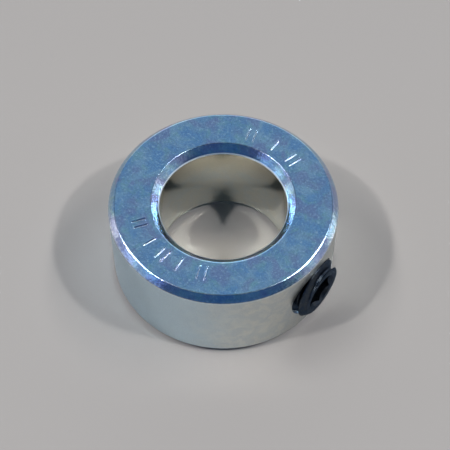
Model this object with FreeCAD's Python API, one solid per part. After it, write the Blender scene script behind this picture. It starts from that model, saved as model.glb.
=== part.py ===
import FreeCAD, Part
import math
import os

# Solid shaft collar for a 5/8 inch shaft, held by one 5/16-18 UNC socket set screw.
# Frame: origin at the bore's centre at mid-width, +Z along the bore, +X along the screw,
# pointing out of the tapped hole. Millimetres.

# ---- the ring ----
OUTER_R = 28.575 / 2            # 1-1/8 inch outside diameter
BORE_R = 15.90 / 2              # 5/8 inch bore with its running allowance
WIDTH = 12.7                    # 1/2 inch
OUTER_CHAMFER = 0.80
BORE_CHAMFER = 1.05
EDGE_BREAK = 0.12               # rounding left on every turned edge by tumbling

# ---- the 5/16-18 UNC thread, right-handed ----
PITCH = 25.4 / 18
FLANK = math.tan(math.radians(30.0))
SCREW_CREST_R = 3.90
SCREW_ROOT_R = 3.10
SCREW_CREST_FLAT = PITCH / 8
HOLE_MINOR_R = 3.25
HOLE_MAJOR_R = 3.98
FLANK_GAP = 0.04                # axial play on each flank
MOUTH_R = 4.05                  # light countersink at the tapped hole's outer mouth

# ---- the set screw, placed as it sits: backed out a little from flush ----
SCREW_LENGTH = 6.35             # 1/4 inch, the thickness of the ring's wall
SCREW_STAND_OUT = 0.99          # how far the socket end stands beyond the outside diameter
THREAD_ANGLE = 132.0            # where the thread starts round the screw's axis, degrees
SOCKET_ACROSS_FLATS = 3.98      # 5/32 inch key
SOCKET_DEPTH = 3.00
SOCKET_LEAD_IN = 0.12
SOCKET_FACE_R = 3.30            # flat annulus round the socket's mouth
SOCKET_END_RISE = 0.60          # axial height of the chamfer on the socket end
CUP_RIM_R = 2.15
CUP_RIM_LAND = 0.10
CUP_DEPTH = 0.60
POINT_SPLIT_R = 3.00            # the cup point ends where its cone reaches the thread roots

# ---- punched marks on the upper end face: plain bars, no lettering ----
MARK_RADIUS = 10.75
MARK_LENGTH = 1.90
MARK_WIDTH = 0.24
MARK_DEPTH = 0.12
MARK_GAP = 0.90                 # centre distance of the two bars of a double mark
DOUBLE_MARK_ANGLES = (73.0, 108.0, 236.0, 265.0, 294.0)
SINGLE_MARK_ANGLES = (90.0, 252.0, 278.0)

ORIGIN = FreeCAD.Vector(0, 0, 0)
Z_AXIS = FreeCAD.Vector(0, 0, 1)
Y_AXIS = FreeCAD.Vector(0, 1, 0)

SCREW_OUTER_X = OUTER_R + SCREW_STAND_OUT
SCREW_INNER_X = SCREW_OUTER_X - SCREW_LENGTH
POINT_SPLIT_X = SCREW_INNER_X + (POINT_SPLIT_R - CUP_RIM_R - CUP_RIM_LAND)


def vec(x, y, z):
    return FreeCAD.Vector(x, y, z)


def revolved(profile):
    """Solid of revolution about +Z from (radius, z) corners."""
    points = [vec(r, 0, z) for r, z in profile]
    points.append(points[0])
    face = Part.Face(Part.makePolygon(points))
    return face.revolve(ORIGIN, Z_AXIS, 360)


def along_screw(shape):
    """Turn a shape built along +Z so that it lies along +X."""
    turned = shape.copy()
    turned.rotate(ORIGIN, Y_AXIS, 90)
    return turned


def thread_turns(inner_r, inner_half, outer_r, outer_half, z_from, z_to, phase):
    """Trapezoid wound about +Z at the thread's pitch, one solid per turn; phase is in turns."""
    corners = [
        vec(inner_r, 0, -inner_half),
        vec(outer_r, 0, -outer_half),
        vec(outer_r, 0, outer_half),
        vec(inner_r, 0, inner_half),
        vec(inner_r, 0, -inner_half),
    ]
    helix = Part.makeHelix(PITCH, PITCH, outer_r)
    turn = Part.Wire(helix.Edges).makePipeShell([Part.makePolygon(corners)], True, True)
    turn.rotate(ORIGIN, Z_AXIS, THREAD_ANGLE)
    first = math.floor(z_from / PITCH) - 1
    last = math.ceil(z_to / PITCH) + 1
    turns = []
    for index in range(first, last):
        copy = turn.copy()
        copy.translate(vec(0, 0, (index + phase) * PITCH))
        turns.append(copy)
    return turns


def screw_groove():
    """The groove between the screw's thread crests, cut from its blank."""
    crest_half = (PITCH - SCREW_CREST_FLAT) / 2
    root_half = crest_half - (SCREW_CREST_R - SCREW_ROOT_R) * FLANK
    beyond = 0.10
    return thread_turns(SCREW_ROOT_R, root_half, SCREW_CREST_R + beyond, crest_half + beyond * FLANK,
                        SCREW_INNER_X, SCREW_OUTER_X, 0.5)


def hole_groove():
    """The groove the screw's crests run in, cut from the drilled hole's wall."""
    inside_r = HOLE_MINOR_R - 0.12
    outer_half = SCREW_CREST_FLAT / 2 + FLANK_GAP - (HOLE_MAJOR_R - SCREW_CREST_R) * FLANK
    inner_half = outer_half + (HOLE_MAJOR_R - inside_r) * FLANK
    return thread_turns(inside_r, inner_half, HOLE_MAJOR_R, outer_half, BORE_R - PITCH, OUTER_R, 0.0)


def cut_each(shape, tools):
    """Cut the tools one after another, which keeps the thread's turns clean."""
    for tool in tools:
        shape = shape.cut(tool)
    return shape


def ring_blank():
    half = WIDTH / 2
    blank = revolved([
        (BORE_R + BORE_CHAMFER, half),
        (OUTER_R - OUTER_CHAMFER, half),
        (OUTER_R, half - OUTER_CHAMFER),
        (OUTER_R, OUTER_CHAMFER - half),
        (OUTER_R - OUTER_CHAMFER, -half),
        (BORE_R + BORE_CHAMFER, -half),
        (BORE_R, BORE_CHAMFER - half),
        (BORE_R, half - BORE_CHAMFER),
    ])
    circles = [edge for edge in blank.Edges if isinstance(edge.Curve, Part.Circle)]
    return blank.makeFillet(EDGE_BREAK, circles)


def tapped_hole():
    x_from = BORE_R * 0.5
    x_to = OUTER_R + 1.0
    drill = Part.makeCylinder(HOLE_MINOR_R, x_to - x_from, vec(0, 0, x_from))
    mouth = revolved([
        (0.0, OUTER_R - MOUTH_R),
        (MOUTH_R + 1.0, OUTER_R + 1.0),
        (0.0, OUTER_R + 1.0),
    ])
    return [along_screw(tool) for tool in [drill, mouth] + hole_groove()]


def bar_mark(angle, offset):
    """A round-ended radial bar sunk into the upper end face."""
    half_width = MARK_WIDTH / 2
    half_length = MARK_LENGTH / 2 - half_width
    floor = WIDTH / 2 - MARK_DEPTH
    bar = Part.makeBox(2 * half_length, MARK_WIDTH, 2 * MARK_DEPTH,
                       vec(MARK_RADIUS - half_length, offset - half_width, floor))
    for side in (-1, 1):
        end = Part.makeCylinder(half_width, 2 * MARK_DEPTH, vec(MARK_RADIUS + side * half_length, offset, floor))
        bar = bar.fuse(end)
    bar = bar.removeSplitter()
    bar.rotate(ORIGIN, Z_AXIS, angle)
    return bar


def collar_ring():
    ring = cut_each(ring_blank(), tapped_hole())
    marks = []
    for angle in DOUBLE_MARK_ANGLES:
        marks.append(bar_mark(angle, -MARK_GAP / 2))
        marks.append(bar_mark(angle, MARK_GAP / 2))
    for angle in SINGLE_MARK_ANGLES:
        marks.append(bar_mark(angle, 0.0))
    return ring.cut(marks)


def hexagon(across_flats, z):
    corner_r = across_flats / math.sqrt(3)
    points = []
    for step in range(7):
        angle = math.radians(60.0 * step)
        points.append(vec(corner_r * math.cos(angle), corner_r * math.sin(angle), z))
    return Part.Face(Part.makePolygon(points))


def socket():
    """Hexagonal socket with a lead-in cone and a drilled point at its floor."""
    floor = SCREW_OUTER_X - SOCKET_DEPTH
    corner_r = SOCKET_ACROSS_FLATS / math.sqrt(3)
    drill_r = SOCKET_ACROSS_FLATS / 2 - 0.05
    prism = hexagon(SOCKET_ACROSS_FLATS, floor).extrude(vec(0, 0, SOCKET_DEPTH + 1.0))
    lead_in = revolved([
        (0.0, SCREW_OUTER_X - SOCKET_LEAD_IN - corner_r),
        (corner_r + 0.05 + 1.0, SCREW_OUTER_X - SOCKET_LEAD_IN + 0.05 + 1.0),
        (0.0, SCREW_OUTER_X - SOCKET_LEAD_IN + 0.05 + 1.0),
    ])
    point = revolved([(0.0, floor - drill_r * FLANK), (drill_r, floor), (drill_r, floor + 0.1), (0.0, floor + 0.1)])
    return prism.fuse([lead_in, point])


def set_screw():
    cone_top_x = SCREW_INNER_X + (SCREW_CREST_R - CUP_RIM_R - CUP_RIM_LAND)
    blank = revolved([
        (0.0, POINT_SPLIT_X),
        (POINT_SPLIT_R, POINT_SPLIT_X),
        (SCREW_CREST_R, cone_top_x),
        (SCREW_CREST_R, SCREW_OUTER_X - SOCKET_END_RISE),
        (SOCKET_FACE_R, SCREW_OUTER_X),
        (0.0, SCREW_OUTER_X),
    ])
    return along_screw(cut_each(blank, screw_groove()).cut(socket()))


def cup_point():
    """The plain cone and cup at the screw's inner end."""
    return along_screw(revolved([
        (0.0, SCREW_INNER_X + CUP_DEPTH),
        (CUP_RIM_R, SCREW_INNER_X),
        (CUP_RIM_R + CUP_RIM_LAND, SCREW_INNER_X),
        (POINT_SPLIT_R, POINT_SPLIT_X),
        (0.0, POINT_SPLIT_X),
    ]))


os.makedirs("parts", exist_ok=True)
NODES = {
    "collar_ring": collar_ring(),
    "set_screw": set_screw(),
    "cup_point": cup_point(),
}
for name, shape in NODES.items():
    solid = shape.Solids[0]
    print(name, shape.isValid(), len(shape.Solids), round(solid.Volume, 3), solid.BoundBox)
    solid.exportStep("parts/" + name + ".step")
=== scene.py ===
import bmesh
import bpy
import math
from mathutils import Matrix, Vector


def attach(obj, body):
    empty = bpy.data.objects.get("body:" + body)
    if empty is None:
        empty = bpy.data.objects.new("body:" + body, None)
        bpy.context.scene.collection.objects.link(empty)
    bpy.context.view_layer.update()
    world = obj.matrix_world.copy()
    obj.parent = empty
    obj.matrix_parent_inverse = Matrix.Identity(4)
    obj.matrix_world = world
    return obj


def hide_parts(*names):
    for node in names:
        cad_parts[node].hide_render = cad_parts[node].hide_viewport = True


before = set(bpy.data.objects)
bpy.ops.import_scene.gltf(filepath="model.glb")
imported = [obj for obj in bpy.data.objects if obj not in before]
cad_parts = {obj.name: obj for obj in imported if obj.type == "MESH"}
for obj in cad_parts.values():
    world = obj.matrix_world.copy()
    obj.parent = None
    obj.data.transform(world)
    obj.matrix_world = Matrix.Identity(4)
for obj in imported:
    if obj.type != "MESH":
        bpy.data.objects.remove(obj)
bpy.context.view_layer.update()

# A solid shaft collar for a 5/8 inch shaft with its socket set screw, in metres.
# +Z runs along the bore and +X along the screw, out of the tapped hole.
MM = 0.001

# ---- ring: a 1-1/8 inch collar for a 5/8 inch shaft, in millimetres ----
OUTER_R = 28.575 / 2
BORE_R = 15.90 / 2
HALF_WIDTH = 12.7 / 2
OUTER_CHAMFER = 0.80
BORE_CHAMFER = 1.05
ARC_STEPS = 6                           # faces across each rounded edge
WELL_ROUNDED = 0.36                     # what full wear adds to the radius of the bore's upper edge

# ---- 5/16-18 UNC thread; angles are in degrees round the screw ----
PITCH = 25.4 / 18
THREAD_START = 132.0
SLOPE = math.tan(math.radians(30.0))    # of the thread's flanks
SCREW_CREST_R = 3.90
SCREW_ROOT_R = 3.10
CREST_FLAT = PITCH / 8
HOLE_MINOR_R = 3.25
HOLE_MAJOR_R = 3.98
FLANK_GAP = 0.04

# ---- screw: places along X, radii, and the hexagon socket ----
SCREW_OUT = OUTER_R + 0.99              # the socket's end, a little outside the ring
SCREW_IN = SCREW_OUT - 6.35             # the cup's rim
SPLIT_R = 3.00                          # where the cup point meets the threaded shank
CUP_R = 2.15
CUP_LAND = 0.10
CUP_DEPTH = 0.60
SPLIT_X = SCREW_IN + SPLIT_R - CUP_R - CUP_LAND
FLATS = 3.98
SOCKET_DEPTH = 3.00
LEAD_IN = 0.12
FACE_R = 3.30
END_RISE = 0.60

# ---- cutting tools ----
CLEAR = 1.0                             # how far a tool reaches beyond what it cuts
TAP_FROM = 3.0                          # the tapping tool begins well inside the bore
TAP_TO = 17.0                           # and ends outside the screw

# ---- punched bars on the upper face ----
MARK_R = 10.75
MARK_LENGTH = 1.90
MARK_WIDTH = 0.24
MARK_DEPTH = 0.12
MARK_GAP = 0.90                         # centre distance of a double mark's two bars
MARK_EDGE = MARK_WIDTH / 2 + 0.03       # half width at the top of the rounded groove
MARK_MARGIN = 0.3                       # the face is disturbed this far beyond a bar's ends
LIP_HEIGHT = 0.022                      # metal raised beside the groove by the punch
LIP_WIDTH = 0.09
LIP_OFFSET = 0.05
DOUBLE_MARKS = (73.0, 108.0, 236.0, 265.0, 294.0)
SINGLE_MARKS = (90.0, 252.0, 278.0)

# ---- wear on the upper edges: angle and spread in degrees, and amount ----
OUTER_WEAR = (
    (3.0, 13.0, 1.0),
    (253.0, 9.0, 0.9),
    (215.0, 14.0, 0.5),
    (40.0, 16.0, 0.45),
    (160.0, 12.0, 0.35),
)
BORE_WEAR = ((-52.0, 55.0, 1.0),)


# ------------------------------------------------------------------ meshes
def new_object(name, points, faces):
    """Mesh object from points in millimetres."""
    mesh = bpy.data.meshes.new(name)
    mesh.from_pydata([(x * MM, y * MM, z * MM) for x, y, z in points], [], faces)
    mesh.validate()
    mesh.update()
    item = bpy.data.objects.new(name, mesh)
    bpy.context.scene.collection.objects.link(item)
    return item


def rounded(corners, radii, steps):
    """Closed outline with each corner rounded by its radius."""
    outline = []
    total = len(corners)
    for index, (corner, radius) in enumerate(zip(corners, radii)):
        here = Vector(corner)
        before = (Vector(corners[index - 1]) - here).normalized()
        after = (Vector(corners[(index + 1) % total]) - here).normalized()
        if radius <= 0:
            outline.append(tuple(here))
            continue
        half = before.angle(after) / 2
        reach = radius / math.tan(half)
        middle = here + (before + after).normalized() * (radius / math.sin(half))
        start = here + before * reach - middle
        end = here + after * reach - middle
        turn = start.angle(end)
        for step in range(steps + 1):
            t = step / steps
            point = (start * math.sin((1 - t) * turn) + end * math.sin(t * turn)) / math.sin(turn)
            outline.append(tuple(middle + point))
    return outline


def divided(outline, longest):
    """Open outline with its long runs split evenly."""
    result = []
    for start, end in zip(outline, outline[1:]):
        a, b = Vector(start), Vector(end)
        pieces = max(1, math.ceil((b - a).length / longest - 1e-6))
        result += [tuple(a.lerp(b, k / pieces)) for k in range(pieces)]
    result.append(tuple(outline[-1]))
    return result


def grid_faces(rows, columns, wrap_rows, wrap_columns):
    """Quads over a grid of points listed row by row."""
    faces = []
    for i in range(rows if wrap_rows else rows - 1):
        for j in range(columns if wrap_columns else columns - 1):
            i2, j2 = (i + 1) % rows, (j + 1) % columns
            faces.append((i * columns + j, i * columns + j2, i2 * columns + j2, i2 * columns + j))
    return faces


def end_fans(first, rows, columns):
    """Triangles that close a tube of rows at both ends, at two more points numbered from first."""
    faces = []
    last_row = (rows - 1) * columns
    for k in range(columns):
        k2 = (k + 1) % columns
        faces.append((first, k2, k))
        faces.append((first + 1, last_row + k, last_row + k2))
    return faces


def lathe(name, outline, columns):
    """Closed solid turned about X from (radius, x) points that begin and end on the axis."""
    inner = outline[1:-1]
    angles = [math.tau * k / columns for k in range(columns)]
    points = [(x, r * math.sin(a), -r * math.cos(a)) for r, x in inner for a in angles]
    faces = grid_faces(len(inner), columns, False, True)
    faces += end_fans(len(points), len(inner), columns)
    points += [(outline[0][1], 0.0, 0.0), (outline[-1][1], 0.0, 0.0)]
    return new_object(name, points, faces)


def outward(item):
    """Faces turned outwards."""
    work = bmesh.new()
    work.from_mesh(item.data)
    bmesh.ops.remove_doubles(work, verts=work.verts, dist=1e-8)
    bmesh.ops.recalc_face_normals(work, faces=work.faces)
    work.to_mesh(item.data)
    work.free()
    return item


def combine(item, tool, operation):
    """Exact boolean, applied at once; the tool is used up."""
    outward(item)
    outward(tool)
    modifier = item.modifiers.new("combine", "BOOLEAN")
    modifier.operation = operation
    modifier.solver = "EXACT"
    modifier.object = tool
    graph = bpy.context.evaluated_depsgraph_get()
    made = bpy.data.meshes.new_from_object(item.evaluated_get(graph))
    item.modifiers.clear()
    old = item.data
    item.data = made
    made.name = item.name
    bpy.data.meshes.remove(old)
    bpy.data.objects.remove(tool)
    return item


def smooth(item, sharp_angle):
    """Smooth shading with a sharp edge wherever two faces meet at more than the angle."""
    work = bmesh.new()
    work.from_mesh(item.data)
    bmesh.ops.remove_doubles(work, verts=work.verts, dist=2e-7)
    bmesh.ops.dissolve_degenerate(work, edges=work.edges, dist=1e-8)
    for face in work.faces:
        face.smooth = True
    for edge in work.edges:
        edge.smooth = len(edge.link_faces) == 2 and edge.calc_face_angle(0.0) < math.radians(sharp_angle)
    work.to_mesh(item.data)
    work.free()
    return item


# ------------------------------------------------------------------ ring
def mark_bars():
    """Angle and sideways offset of every punched bar."""
    bars = [(angle, 0.0) for angle in SINGLE_MARKS]
    for angle in DOUBLE_MARKS:
        bars += [(angle, -MARK_GAP / 2), (angle, MARK_GAP / 2)]
    return bars


BARS = mark_bars()


def mark_height(x, y):
    """Height of the upper face at a point near the punched bars: a rounded groove with raised lips."""
    height = 0.0
    for angle, offset in BARS:
        a = math.radians(angle)
        along = x * math.cos(a) + y * math.sin(a) - MARK_R
        across = y * math.cos(a) - x * math.sin(a) - offset
        if abs(along) > MARK_LENGTH or abs(across) > 5 * MARK_WIDTH / 2:
            continue
        straight = MARK_LENGTH / 2 - MARK_WIDTH / 2
        beyond = max(0.0, abs(along) - straight)
        distance = math.hypot(beyond, across)
        if distance < MARK_EDGE:
            height -= MARK_DEPTH * math.cos(math.pi / 2 * distance / MARK_EDGE) ** 1.5
        height += LIP_HEIGHT * math.exp(-(((distance - MARK_EDGE - LIP_OFFSET) / LIP_WIDTH) ** 2))
    return height


def ring_columns():
    """Angles of the ring's columns in degrees: fine across the marks and beside the tapped hole."""
    hole_side = 19.0
    mark_step = 0.2
    fine = [(angle - 4.6, angle + 4.6) for angle in DOUBLE_MARKS]
    fine += [(angle - 2.2, angle + 2.2) for angle in SINGLE_MARKS]
    angles = []
    angle = -hole_side
    while angle < 360.0 - hole_side - 1e-6:
        angles.append(angle)
        step = 1.0
        for low, high in fine:
            if low - 1e-6 <= angle < high - 1e-6:
                step = mark_step
            elif angle < low < angle + step:
                step = min(step, max(mark_step, low - angle))
        if angle < hole_side:
            step = 0.5
        angle = round(angle + step, 4)
    return angles


def softness(angle, wear):
    """How worn an edge is at an angle, from 0 for crisp to 1 for well rounded."""
    worn = 0.0
    for centre, spread, amount in wear:
        gap = (angle - centre + 180.0) % 360.0 - 180.0
        worn = max(worn, amount * math.exp(-((gap / spread) ** 2)))
    return worn


def ring_outline(angle):
    """The ring's outline at an angle as (radius, z), always with the same number of points."""
    top = HALF_WIDTH
    outer_flat = OUTER_R - OUTER_CHAMFER
    bore_flat = BORE_R + BORE_CHAMFER
    outer_worn = softness(angle, OUTER_WEAR)
    bore_worn = WELL_ROUNDED * softness(angle, BORE_WEAR)
    # rows on the upper face, close together under the marks
    band = [9.30 + 0.1 * k for k in range(3)]
    band += [9.58 + 0.085 * k for k in range(29)]
    band += [12.2, 12.6, 12.95]
    # each corner, its crisp and its worn radius, and the rows on the run after it
    edges = [
        ((bore_flat, top), 0.22 + bore_worn, 0.30 + bore_worn, band),
        ((outer_flat, top), 0.26, 0.80, 2),
        ((OUTER_R, top - OUTER_CHAMFER), 0.20, 0.40, 26),
        ((OUTER_R, OUTER_CHAMFER - top), 0.22, 0.30, 2),
        ((outer_flat, -top), 0.30, 0.40, 4),
        ((bore_flat, -top), 0.25, 0.25, 2),
        ((BORE_R, BORE_CHAMFER - top), 0.15, 0.15, 18),
        ((BORE_R, top - BORE_CHAMFER), 0.14, 0.14, 2),
    ]
    corners = [edge[0] for edge in edges]
    radii = [crisp + (worn - crisp) * outer_worn for _, crisp, worn, _ in edges]
    arcs = rounded(corners, radii, ARC_STEPS)
    outline = []
    size = ARC_STEPS + 1
    for index, (_, _, _, rows) in enumerate(edges):
        arc = arcs[index * size:(index + 1) * size]
        outline += arc
        if isinstance(rows, list):
            outline += [(radius, top) for radius in rows]
            continue
        start, end = Vector(arc[-1]), Vector(arcs[((index + 1) * size) % len(arcs)])
        outline += [tuple(start.lerp(end, k / rows)) for k in range(1, rows)]
    return outline


# rows within one turn, from crest to root and back, closer together at the crest's edges and round the root
HALF_TURN = (0.035, 0.0623, 0.09, 0.13, 0.19, 0.25, 0.31, 0.36, 0.395, 0.43, 0.465)
THREAD_ROWS = [0.0, *HALF_TURN, 0.5, *(round(1.0 - part, 4) for part in reversed(HALF_TURN))]


def thread_radius(place, crest_r, root_r, crest_half, soft):
    """Radius of a trapezoidal thread, rounded by soft, at a place along an axis with a crest at 0."""
    from_crest = abs((place / PITCH + 0.5) % 1.0 - 0.5) * PITCH
    flank = crest_r - (from_crest - crest_half) / SLOPE
    if not soft:
        return max(root_r, min(crest_r, flank))
    top = crest_r - soft * math.log1p(math.exp((crest_r - flank) / soft))
    return root_r + soft * math.log1p(math.exp((top - root_r) / soft))


def thread_bar(name, x_from, x_to, crest_r, root_r, crest_half, soft, columns):
    """Solid threaded bar along X whose rows follow the thread."""
    rows = []
    first = math.floor(x_from / PITCH) - 2
    last = math.ceil(x_to / PITCH) + 2
    for k in range(first, last):
        rows += [(k + part) * PITCH for part in THREAD_ROWS]
    points = []
    for raw in rows:
        for j in range(columns + 1):
            phi = 360.0 * j / columns
            lead = PITCH * (phi + 90.0 - THREAD_START) / 360.0
            x = min(max(raw + lead, x_from), x_to)
            r = thread_radius(x - lead, crest_r, root_r, crest_half, soft)
            a = math.radians(phi)
            points.append((x, r * math.cos(a), r * math.sin(a)))
    faces = grid_faces(len(rows), columns + 1, False, False)
    item = new_object(name, points, faces)
    work = bmesh.new()
    work.from_mesh(item.data)
    bmesh.ops.remove_doubles(work, verts=work.verts, dist=1e-7)
    bmesh.ops.dissolve_degenerate(work, edges=work.edges, dist=1e-7)
    loose = [v for v in work.verts if not v.link_faces]
    bmesh.ops.delete(work, geom=loose, context="VERTS")
    rims = [e for e in work.edges if len(e.link_faces) == 1]
    bmesh.ops.holes_fill(work, edges=rims, sides=0)
    bmesh.ops.recalc_face_normals(work, faces=work.faces)
    work.to_mesh(item.data)
    work.free()
    return item


def hole_mouth():
    """Cutter that rounds the tapped hole's rim where it meets the curved outside of the ring."""
    columns = 120
    inner_end = 13.0
    # height above the ring's outside, and radius about the hole
    profile = [
        (-0.60, 3.60), (-0.30, 3.90), (-0.12, 3.97), (-0.06, 3.985), (-0.02, 4.01),
        (0.0, 4.035), (0.02, 4.08), (0.08, 4.30), (0.40, 5.2), (1.6, 5.2),
    ]
    points = []
    for rise, r in profile:
        for j in range(columns):
            a = math.tau * j / columns
            surface = math.sqrt(OUTER_R ** 2 - (r * math.cos(a)) ** 2)
            points.append((surface + rise, r * math.cos(a), r * math.sin(a)))
    faces = grid_faces(len(profile), columns, False, True)
    faces += end_fans(len(points), len(profile), columns)
    points += [(inner_end, 0, 0), (TAP_TO, 0, 0)]
    return new_object("mouth_tool", points, faces)


def make_ring():
    """The turned ring with its punched bars and tapped hole."""
    angles = ring_columns()
    outlines = [ring_outline(angle) for angle in angles]
    top = HALF_WIDTH - 1e-4
    points = []
    for row in range(len(outlines[0])):
        for angle, outline in zip(angles, outlines):
            r, z = outline[row]
            a = math.radians(angle)
            x, y = r * math.cos(a), r * math.sin(a)
            if z > top and abs(r - MARK_R) < MARK_LENGTH / 2 + MARK_MARGIN:
                z += mark_height(x, y)
            points.append((x, y, z))
    ring = new_object("collar_body", points, grid_faces(len(outlines[0]), len(angles), True, True))
    crest_half = CREST_FLAT / 2 + FLANK_GAP - (HOLE_MAJOR_R - SCREW_CREST_R) * SLOPE
    tap = thread_bar("tap_tool", TAP_FROM, TAP_TO, HOLE_MAJOR_R, HOLE_MINOR_R, crest_half, 0.0, 96)
    combine(ring, tap, "DIFFERENCE")
    combine(ring, hole_mouth(), "DIFFERENCE")
    return smooth(ring, sharp_angle=27.0)


# ------------------------------------------------------------------ screw
def socket_tools():
    """Hexagonal socket's cutters: prism, lead-in cone and drilled point, each a closed solid."""
    corner = FLATS / math.sqrt(3)
    floor = SCREW_OUT - SOCKET_DEPTH
    top = SCREW_OUT + CLEAR
    points = []
    for x in (floor, top):
        for k in range(6):
            a = math.radians(60 * k)
            points.append((x, corner * math.sin(a), -corner * math.cos(a)))
    faces = [(0, 1, 2, 3, 4, 5), (11, 10, 9, 8, 7, 6)]
    faces += [(k, k + 6, (k + 1) % 6 + 6, (k + 1) % 6) for k in range(6)]
    prism = new_object("prism_tool", points, faces)
    depth = SCREW_OUT - LEAD_IN
    rise = CLEAR + 0.05
    cone = [(0.0, depth - corner), (corner + rise, depth + rise), (0.0, depth + rise + 0.01)]
    drill = FLATS / 2 - 0.05
    drilled = [(0.0, floor - drill * SLOPE), (drill, floor), (drill, floor + 0.1), (0.0, floor + 0.11)]
    return prism, lathe("lead_tool", cone, 96), lathe("point_tool", drilled, 72)


def make_screw():
    """The threaded shank with its hexagon socket."""
    soft = 0.022
    allowance = 0.012       # makes up for what the softening takes from the crests and adds at the roots
    bar = thread_bar("thread_tool", SPLIT_X - CLEAR, SCREW_OUT + CLEAR, SCREW_CREST_R + allowance,
                     SCREW_ROOT_R - allowance, CREST_FLAT / 2, soft, 144)
    cone_top = SCREW_IN + SCREW_CREST_R - CUP_R - CUP_LAND
    corners = [
        (0.0, SPLIT_X),
        (SPLIT_R, SPLIT_X),
        (SCREW_CREST_R, cone_top),
        (SCREW_CREST_R, SCREW_OUT - END_RISE),
        (FACE_R, SCREW_OUT),
        (0.0, SCREW_OUT),
    ]
    outline = rounded(corners, [0, 0, 0.10, 0.10, 0.08, 0], 4)
    blank = lathe("screw_thread", outline, 144)
    screw = combine(blank, bar, "INTERSECT")
    for tool in socket_tools():
        combine(screw, tool, "DIFFERENCE")
    return smooth(screw, sharp_angle=24.0)


def make_point():
    """The plain cone and cup at the screw's inner end."""
    corners = [
        (0.0, SCREW_IN + CUP_DEPTH),
        (CUP_R, SCREW_IN),
        (CUP_R + CUP_LAND, SCREW_IN),
        (SPLIT_R, SPLIT_X),
        (0.0, SPLIT_X),
    ]
    outline = divided(rounded(corners, [0, 0.03, 0.03, 0, 0], 4), 0.25)
    point = outward(lathe("screw_cup_point", outline, 120))
    return smooth(point, sharp_angle=30.0)


# ------------------------------------------------------------------ materials
BUMP_DEPTH = 0.00002        # metres


class Nodes:
    """Small helper that lays out a node tree."""

    def __init__(self, tree):
        self.tree = tree

    def add(self, kind, inputs=None, **settings):
        """New node; an input is either a constant or another node's output."""
        node = self.tree.nodes.new(kind)
        for key, value in settings.items():
            setattr(node, key, value)
        for key, value in (inputs or {}).items():
            socket = node.inputs[key]
            if isinstance(value, bpy.types.NodeSocket):
                self.tree.links.new(value, socket)
            else:
                socket.default_value = value
        return node

    def maths(self, operation, a, b=0.0):
        return self.add("ShaderNodeMath", {0: a, 1: b}, operation=operation).outputs[0]

    def add_up(self, a, b):
        return self.maths("ADD", a, b)

    def product(self, a, b):
        return self.maths("MULTIPLY", a, b)

    def length(self, a, b):
        """Length of a vector with two parts."""
        return self.maths("SQRT", self.add_up(self.product(a, a), self.product(b, b)))

    def ramp(self, value, low, high, to_low=0.0, to_high=1.0):
        """Smooth step from one value to another."""
        inputs = {"Value": value, "From Min": low, "From Max": high, "To Min": to_low, "To Max": to_high}
        return self.add("ShaderNodeMapRange", inputs, interpolation_type="SMOOTHSTEP").outputs[0]

    def mix(self, factor, a, b, blend="MIX"):
        inputs = {0: factor, 6: a, 7: b}
        settings = {"data_type": "RGBA", "blend_type": blend, "clamp_factor": True}
        return self.add("ShaderNodeMix", inputs, **settings).outputs[2]

    def noise(self, vector, scale, detail, rough, distort=0.0):
        inputs = {
            "Vector": vector,
            "Scale": scale,
            "Detail": detail,
            "Roughness": rough,
            "Distortion": distort,
        }
        return self.add("ShaderNodeTexNoise", inputs).outputs["Fac"]

    def in_millimetres(self, coord):
        """Object coordinates in millimetres, as a vector and as its three parts."""
        inputs = {0: coord.outputs["Object"], "Scale": 1 / MM}
        place = self.add("ShaderNodeVectorMath", inputs, operation="SCALE").outputs[0]
        return place, self.add("ShaderNodeSeparateXYZ", {0: place}).outputs


def rgba(r, g, b):
    """Opaque colour."""
    return (r, g, b, 1.0)


def start_material(name):
    """Material with an empty tree and one principled shader."""
    material = bpy.data.materials.new(name)
    material.use_nodes = True
    tree = material.node_tree
    tree.nodes.clear()
    nodes = Nodes(tree)
    output = nodes.add("ShaderNodeOutputMaterial")
    shader = nodes.add("ShaderNodeBsdfPrincipled")
    tree.links.new(shader.outputs[0], output.inputs["Surface"])
    return material, nodes, shader


def connect(nodes, shader, colour, rough, bump_strength, height):
    """Bare metal from a colour, a roughness and a bump height."""
    inputs = {"Strength": bump_strength, "Distance": BUMP_DEPTH, "Height": height}
    bump = nodes.add("ShaderNodeBump", inputs)
    nodes.tree.links.new(colour, shader.inputs["Base Color"])
    nodes.tree.links.new(rough, shader.inputs["Roughness"])
    nodes.tree.links.new(bump.outputs[0], shader.inputs["Normal"])
    shader.inputs["Metallic"].default_value = 1.0


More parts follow.
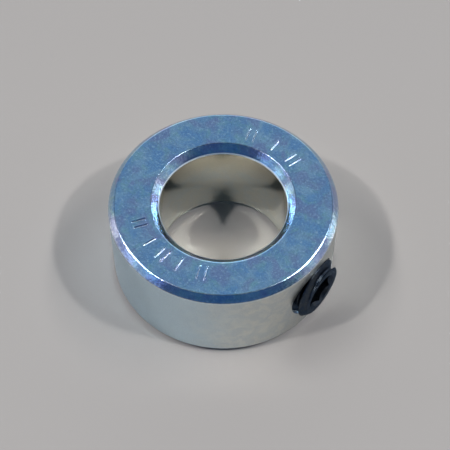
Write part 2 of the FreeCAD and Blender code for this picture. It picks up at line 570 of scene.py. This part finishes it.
def ring_zones(n, coord, x, y, z, radius):
    """Where on the ring a point lies, each from 0 to 1. Radii and heights are in millimetres."""
    facing = n.maths("ABSOLUTE", n.add("ShaderNodeSeparateXYZ", {0: coord.outputs["Normal"]}).outputs[2])
    # the end faces with the chamfers, the end faces alone, the chamfers alone, and the bore
    zones = {"end": n.ramp(facing, 0.20, 0.55), "flat": n.ramp(facing, 0.80, 0.97)}
    zones["chamfer"] = n.maths("SUBTRACT", zones["end"], zones["flat"])
    zones["inside"] = n.ramp(radius, BORE_R + 0.10, BORE_R + 0.40, 1.0, 0.0)
    # the grooves of the punched bars
    sunk = n.product(n.ramp(z, HALF_WIDTH - 0.15, HALF_WIDTH - 0.02, 1.0, 0.0),
                     n.ramp(z, HALF_WIDTH - 0.35, HALF_WIDTH - 0.25))
    under_marks = n.product(n.ramp(radius, MARK_R - 1.30, MARK_R - 1.15),
                            n.ramp(radius, MARK_R + 1.30, MARK_R + 1.15))
    zones["punched"] = n.product(sunk, under_marks)
    # the edges between the bore and its chamfers, and between the side wall and the upper chamfer
    bore_edge = HALF_WIDTH - BORE_CHAMFER
    zones["lip"] = n.product(n.ramp(radius, BORE_R + 0.17, BORE_R + 0.07),
                             n.ramp(n.maths("ABSOLUTE", z), bore_edge - 0.10, bore_edge - 0.04))
    zones["outer_edge"] = n.product(n.ramp(radius, 13.95, 14.24), n.ramp(z, 5.30, 5.45))
    # the wall of the tapped hole, short of its two mouths
    in_hole = n.product(n.ramp(n.length(y, z), HOLE_MAJOR_R + 0.07, HOLE_MAJOR_R + 0.02),
                        n.ramp(x, 7.0, 7.2))
    in_wall = n.product(n.ramp(radius, BORE_R + 0.05, BORE_R + 0.10), n.ramp(radius, 14.00, 13.70))
    zones["tapped"] = n.product(in_hole, in_wall)
    return zones


def zinc_material():
    """Zinc plate with a blue passivate on the ring."""
    material, n, shader = start_material("zinc_blue_chromate")
    coord = n.add("ShaderNodeTexCoord")
    place, (x, y, z) = n.in_millimetres(coord)
    radius = n.length(x, y)
    zones = ring_zones(n, coord, x, y, z, radius)
    inside, on_end, on_flat = zones["inside"], zones["end"], zones["flat"]

    broad = n.noise(place, 0.30, 2.0, 0.5)
    patch = n.noise(place, 0.75, 3.0, 0.55, 0.5)
    elsewhere = n.add("ShaderNodeVectorMath", {0: place, 1: (31.0, 17.0, 5.0)}).outputs[0]
    tint = n.noise(elsewhere, 0.42, 1.5, 0.50, 0.3)
    fleck = n.noise(place, 3.0, 4.0, 0.65)
    grain = n.noise(place, 11.0, 3.0, 0.6)

    # end faces: steel blue with teal, lilac and deep blue patches, and paler and darker flecks
    blue = n.mix(n.ramp(broad, 0.35, 0.65), rgba(0.28, 0.46, 0.68), rgba(0.42, 0.62, 0.76))
    for value, low, high, amount, colour in (
        (patch, 0.44, 0.70, 0.70, rgba(0.35, 0.60, 0.62)),
        (tint, 0.50, 0.34, 0.70, rgba(0.35, 0.40, 0.62)),
        (tint, 0.52, 0.68, 0.70, rgba(0.24, 0.46, 0.74)),
        (fleck, 0.52, 0.70, 0.80, rgba(0.58, 0.75, 0.86)),
        (fleck, 0.46, 0.32, 0.45, rgba(0.20, 0.30, 0.50)),
    ):
        blue = n.mix(n.ramp(value, low, high, 0.0, amount), blue, colour)
    # the punched grooves are painted pale: bare zinc, and partly a painted highlight for the light their
    # walls catch
    blue = n.mix(n.product(zones["punched"], 0.85), blue, rgba(0.86, 0.91, 0.95))

    # the side wall is nearly colourless, and a little bluer round one side of the ring
    side = n.mix(n.ramp(patch, 0.35, 0.65), rgba(0.565, 0.615, 0.62), rgba(0.665, 0.69, 0.655))
    bluer = n.maths("SUBTRACT", n.product(x, -0.35), n.product(y, 0.94))
    bluer = n.ramp(n.add_up(bluer, n.product(broad, 4.0)), 6.0, 15.0, 0.0, 0.9)
    side = n.mix(bluer, side, rgba(0.58, 0.73, 0.82))

    # the bore is a warm grey, warmer towards its upper end
    bore = n.mix(n.ramp(patch, 0.35, 0.65), rgba(0.86, 0.86, 0.76), rgba(0.80, 0.85, 0.80))
    bore = n.mix(n.ramp(z, 1.0, 4.5), bore, rgba(0.76, 0.72, 0.58))
    colour = n.mix(on_end, n.mix(inside, side, bore), blue)

    # the chamfers have violet stains; the pale bands on the ring's outer upper edge and on the bore's lips
    # are painted highlight lines, partly edges rubbed pale by tumbling
    stain = n.product(zones["chamfer"], n.ramp(tint, 0.54, 0.44, 0.0, 0.35))
    colour = n.mix(stain, colour, rgba(0.34, 0.36, 0.66))
    rubbed_and_highlight = n.product(zones["outer_edge"], n.ramp(fleck, 0.40, 0.60, 0.2, 0.8))
    colour = n.mix(n.maths("MAXIMUM", rubbed_and_highlight, zones["lip"]), colour, rgba(0.74, 0.82, 0.90))
    # the thread of the tapped hole is darkened: partly thinly plated, partly painted shade of the hole's
    # recess
    colour = n.mix(n.product(zones["tapped"], 0.9), colour, rgba(0.16, 0.17, 0.18))

    # a fine grain in the brightness, stronger on the end faces
    dark = n.ramp(on_flat, 0.0, 1.0, 0.92, 0.80)
    bright = n.ramp(on_flat, 0.0, 1.0, 1.06, 1.16)
    shade = n.ramp(grain, 0.3, 0.7, dark, bright)
    shade = n.add("ShaderNodeCombineXYZ", {0: shade, 1: shade, 2: shade}).outputs[0]
    colour = n.mix(1.0, colour, shade, "MULTIPLY")

    # roughness: a polished bore, a satin wall and end faces, dull marks and thread
    wall_rough = n.ramp(inside, 0.0, 1.0, 0.33, 0.03)
    end_rough = n.ramp(on_flat, 0.0, 1.0, 0.18, 0.23)
    rough = n.add("ShaderNodeMix", {0: on_end, 2: wall_rough, 3: end_rough}).outputs[0]
    speckle = n.product(n.ramp(fleck, 0.3, 0.7, -0.02, 0.03), n.ramp(inside, 0.0, 1.0, 1.0, 0.3))
    rough = n.add_up(rough, speckle)
    rough = n.add_up(rough, n.product(n.add_up(zones["punched"], zones["tapped"]), 0.12))
    rough = n.maths("MAXIMUM", rough, n.product(zones["lip"], 0.50))

    # fine turning marks round the ring, a satin grain, and tumbled chamfers
    turned = n.add("ShaderNodeCombineXYZ", {0: n.product(radius, 9.0), 1: n.product(z, 9.0)}).outputs[0]
    lines = n.noise(turned, 1.0, 2.0, 0.6)
    height = n.add_up(n.product(lines, 0.5), n.product(grain, n.ramp(on_end, 0.0, 1.0, 0.15, 0.6)))
    tumble = n.add_up(1.2, n.product(zones["chamfer"], 3.2))
    height = n.add_up(height, n.product(n.noise(place, 2.2, 2.0, 0.6), tumble))
    height = n.product(height, n.ramp(inside, 0.0, 1.0, 1.0, 0.12))
    height = n.product(height, n.ramp(on_end, 0.0, 1.0, 0.22, 1.0))
    connect(n, shader, colour, rough, 0.35, height)
    return material


def black_oxide_material():
    """Black oxide on the screw, rubbed a little on the thread's crests."""
    material, n, shader = start_material("black_oxide_steel")
    coord = n.add("ShaderNodeTexCoord")
    place, (_, y, z) = n.in_millimetres(coord)
    radius = n.length(z, y)
    patch = n.noise(place, 1.4, 3.0, 0.6)
    grain = n.noise(place, 9.0, 3.0, 0.6)
    colour = n.mix(n.ramp(patch, 0.35, 0.65), rgba(0.036, 0.050, 0.076), rgba(0.058, 0.068, 0.080))
    crest = n.product(n.ramp(radius, 3.82, 3.90), n.ramp(grain, 0.45, 0.68))
    colour = n.mix(n.product(crest, 0.5), colour, rgba(0.16, 0.18, 0.20))
    rough = n.ramp(grain, 0.3, 0.7, 0.24, 0.38)
    connect(n, shader, colour, rough, 0.3, grain)
    shader.inputs["Specular Tint"].default_value = rgba(0.48, 0.54, 0.64)
    return material


# ------------------------------------------------------------------ camera, floor and light
CAMERA_AZIMUTH = math.radians(37.6)
CAMERA_ELEVATION = math.radians(56.47)
CAMERA_DISTANCE = 0.1508
CAMERA_LENS = 94.42
CAMERA_SENSOR = 36.0
CAMERA_SHIFT = (0.0037778, 0.0084444)   # parts of the picture's width
FLOOR_REACH = 600.0         # millimetres
FLOOR_COLOUR = (0.350, 0.329, 0.312, 1.0)
LAMP_HEIGHT = 0.50
# each lamp's two ends as (outwards, away) slopes from the vertical, its width in metres, its energy
LAMPS = (
    ("light_", (0.68, -0.20), (0.73, 0.36), 0.05, 1.15),
    ("light_end_", (0.67, -0.25), (0.68, -0.18), 0.03, 1.30),
)
RIGHT = Vector((math.cos(CAMERA_AZIMUTH), math.sin(CAMERA_AZIMUTH), 0.0))
AWAY = Vector((-math.sin(CAMERA_AZIMUTH), math.cos(CAMERA_AZIMUTH), 0.0))
UP = Vector((0.0, 0.0, 1.0))

# low windows: direction as (right, away, up), cosines at their clear part and at their edge, and colour
WINDOWS = (
    ((0.945, 0.300, 0.140), 0.9970, 0.9870, rgba(2.5, 2.2, 2.0)),
    ((0.940, -0.130, 0.320), 0.9985, 0.9920, rgba(1.0, 1.0, 1.0)),
    ((-0.945, 0.310, 0.135), 0.9970, 0.9870, rgba(1.9, 1.7, 1.5)),
    ((-0.950, -0.080, 0.305), 0.9970, 0.9890, rgba(1.3, 1.5, 1.9)),
    ((-0.800, -0.420, 0.430), 0.9970, 0.9850, rgba(0.55, 0.75, 1.25)),
)


def make_camera():
    """Camera that looks at the origin from the photograph's angle."""
    data = bpy.data.cameras.new("camera")
    data.lens = CAMERA_LENS
    data.sensor_width = CAMERA_SENSOR
    data.shift_x, data.shift_y = CAMERA_SHIFT
    data.clip_start = 0.005
    camera = bpy.data.objects.new("camera", data)
    back = UP * math.sin(CAMERA_ELEVATION) - AWAY * math.cos(CAMERA_ELEVATION)
    camera.location = back * CAMERA_DISTANCE
    camera.rotation_euler = back.to_track_quat("Z", "Y").to_euler()
    bpy.context.scene.collection.objects.link(camera)
    bpy.context.scene.camera = camera


def make_floor():
    """Plain pale floor under the ring."""
    sides = ((-1, -1), (1, -1), (1, 1), (-1, 1))
    points = [(x * FLOOR_REACH, y * FLOOR_REACH, -HALF_WIDTH) for x, y in sides]
    floor = new_object("floor", points, [(0, 1, 2, 3)])
    material, _, shader = start_material("pale_floor")
    shader.inputs["Base Color"].default_value = FLOOR_COLOUR
    shader.inputs["Roughness"].default_value = 0.9
    shader.inputs["Specular IOR Level"].default_value = 0.1
    floor.data.materials.append(material)


def soft_lamp(name, near, far, width, energy):
    """Long soft lamp aimed at the collar; its ends are (right, away) slopes from the vertical."""
    ends = [(RIGHT * right + AWAY * away + UP) * LAMP_HEIGHT for right, away in (near, far)]
    middle = (ends[0] + ends[1]) / 2
    data = bpy.data.lights.new(name, "AREA")
    data.shape = "RECTANGLE"
    data.size = (ends[1] - ends[0]).length
    data.size_y = width
    data.energy = energy
    light = bpy.data.objects.new(name, data)
    facing = middle.normalized()
    along = (ends[1] - ends[0]).normalized()
    along = (along - facing * along.dot(facing)).normalized()
    across = facing.cross(along)
    turn = Matrix((along, across, facing)).transposed()
    light.matrix_world = Matrix.Translation(middle) @ turn.to_4x4()
    bpy.context.scene.collection.objects.link(light)


def make_world():
    """Studio light from all round: a dim room with paler walls and windows."""
    world = bpy.data.worlds.new("studio")
    world.use_nodes = True
    tree = world.node_tree
    tree.nodes.clear()
    n = Nodes(tree)
    direction = n.add("ShaderNodeTexCoord").outputs["Generated"]

    def towards(vector):
        """Cosine of the angle between the direction looked in and a vector."""
        inputs = {0: direction, 1: tuple(vector.normalized())}
        return n.add("ShaderNodeVectorMath", inputs, operation="DOT_PRODUCT").outputs["Value"]

    depth = towards(AWAY)
    height = towards(UP)
    # a dim blue room, dark overhead, with a pale blue window high at the back that the end face mirrors
    colour = n.mix(n.ramp(height, 0.62, 0.78), rgba(0.045, 0.090, 0.170), rgba(0.020, 0.026, 0.034))
    high_window = towards(AWAY * 0.55 + UP * 0.83)
    colour = n.mix(n.ramp(high_window, 0.84, 0.96), colour, rgba(0.28, 0.38, 0.50))
    # the front is blue above and nearly black below
    front = n.product(n.ramp(depth, -0.45, -0.80), n.ramp(height, 0.25, 0.45))
    colour = n.mix(front, colour, rgba(0.054, 0.118, 0.228))
    low_front = n.product(n.ramp(depth, -0.20, -0.50), n.ramp(height, 0.40, 0.20))
    colour = n.mix(low_front, colour, rgba(0.025, 0.025, 0.025))
    # paler walls low all round except at the front, and the palest low at the back
    low_walls = n.product(n.ramp(height, 0.62, 0.44), n.ramp(depth, -0.60, -0.30))
    colour = n.mix(low_walls, colour, rgba(0.42, 0.44, 0.50))
    low_back = n.product(n.ramp(height, 0.62, 0.50), n.ramp(depth, 0.77, 0.87))
    colour = n.mix(low_back, colour, rgba(1.15, 1.20, 1.25))
    for (right, away, up), full, edge, light in WINDOWS:
        window = towards(RIGHT * right + AWAY * away + UP * up)
        colour = n.mix(n.ramp(window, edge, full), colour, light)
    # a faint pale patch almost overhead
    overhead = towards(UP - AWAY * 0.17)
    colour = n.mix(n.ramp(overhead, 0.95, 0.99, 0.0, 0.25), colour, rgba(0.50, 0.56, 0.62))

    background = n.add("ShaderNodeBackground", {"Color": colour, "Strength": 1.0})
    output = n.add("ShaderNodeOutputWorld")
    tree.links.new(background.outputs[0], output.inputs["Surface"])
    bpy.context.scene.world = world


make_camera()
make_floor()
for side, word in ((-1.0, "left"), (1.0, "right")):
    for lamp, (near, near_away), (far, far_away), width, energy in LAMPS:
        soft_lamp(lamp + word, (side * near, near_away), (side * far, far_away), width, energy)
make_world()
bpy.context.scene.view_settings.view_transform = "Standard"
# keeps the light that the bore's wall throws on the floor, and keeps it sharp
bpy.context.scene.cycles.blur_glossy = 0.0
bpy.context.scene.cycles.sample_clamp_indirect = 24.0

zinc = zinc_material()
black = black_oxide_material()
ring = make_ring()
screw = make_screw()
point = make_point()
for piece, material, body, node, slot in (
    (ring, zinc, "ring", "collar_ring", "zinc_plate"),
    (screw, black, "screw", "set_screw", "black_oxide"),
    (point, black, "point", "cup_point", "black_oxide"),
):
    piece.data.materials.clear()
    piece.data.materials.append(material)
    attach(piece, body)
    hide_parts(node)
